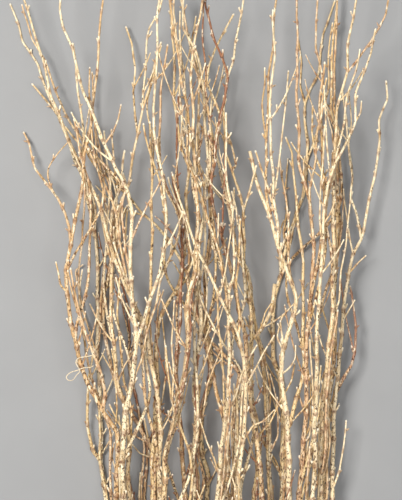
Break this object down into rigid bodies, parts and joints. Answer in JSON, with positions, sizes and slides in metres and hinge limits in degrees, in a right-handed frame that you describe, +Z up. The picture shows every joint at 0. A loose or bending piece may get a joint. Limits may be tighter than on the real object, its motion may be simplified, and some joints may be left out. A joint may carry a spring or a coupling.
{
  "type": "bundle of twigs",
  "caption": "Sheaf of long, dry, crooked birch twigs, bound with twine near the cut ends and fanning out towards the tips, lying on its side.",
  "frame": {"origin": "middle of the footprint, on the surface that the sheaf lies on", "axes": "+Y along the stems from the cut ends to the tips, +Z up from the surface, +X to the right when looking along +Y"},
  "size_m": [0.4614, 1.155, 0.117],
  "materials": {
    "pale_bark": "matt",
    "tan_bark": "matt",
    "russet_bark": "satin",
    "jute_twine": "matt"
  },
  "bodies": {
    "root": {"stem_01": "pale_bark", "stem_01_fork_a": "tan_bark", "stem_01_fork_b": "pale_bark", "stem_02": "tan_bark", "stem_02_fork_a": "pale_bark", "stem_02_fork_b": "pale_bark", "stem_03": "pale_bark", "stem_03_fork_a": "pale_bark", "stem_04": "pale_bark", "stem_04_fork_a": "tan_bark", "stem_04_fork_b": "pale_bark", "stem_05": "russet_bark", "stem_06": "tan_bark", "stem_06_fork_a": "pale_bark", "stem_07": "pale_bark", "stem_07_fork_a": "tan_bark", "stem_08": "pale_bark", "stem_08_fork_a": "tan_bark", "stem_09": "pale_bark", "stem_09_fork_a": "tan_bark", "stem_10": "russet_bark", "stem_10_fork_a": "russet_bark", "stem_11": "tan_bark", "stem_12": "pale_bark", "stem_12_fork_a": "tan_bark", "stem_13": "tan_bark", "stem_14": "pale_bark", "stem_14_fork_a": "pale_bark", "stem_15": "tan_bark", "stem_16": "pale_bark", "stem_16_fork_a": "tan_bark", "stem_17": "tan_bark", "stem_18": "tan_bark", "stem_18_fork_a": "pale_bark", "stem_18_fork_b": "pale_bark", "stem_19": "russet_bark", "stem_19_fork_a": "pale_bark", "stem_19_fork_b": "tan_bark", "stem_20": "pale_bark", "stem_20_fork_a": "pale_bark", "stem_21": "tan_bark", "stem_21_fork_a": "pale_bark", "stem_22": "pale_bark", "stem_22_fork_a": "tan_bark", "stem_22_fork_b": "pale_bark", "stem_22_fork_c": "tan_bark", "stem_23": "tan_bark", "stem_23_fork_a": "pale_bark", "stem_24": "pale_bark", "stem_24_fork_a": "tan_bark", "stem_25": "pale_bark", "stem_25_fork_a": "pale_bark", "stem_26": "tan_bark", "stem_26_fork_a": "pale_bark", "stem_27": "pale_bark", "stem_27_fork_a": "russet_bark", "stem_27_fork_b": "pale_bark", "twine_binding": "jute_twine"}
  },
  "joints": []
}
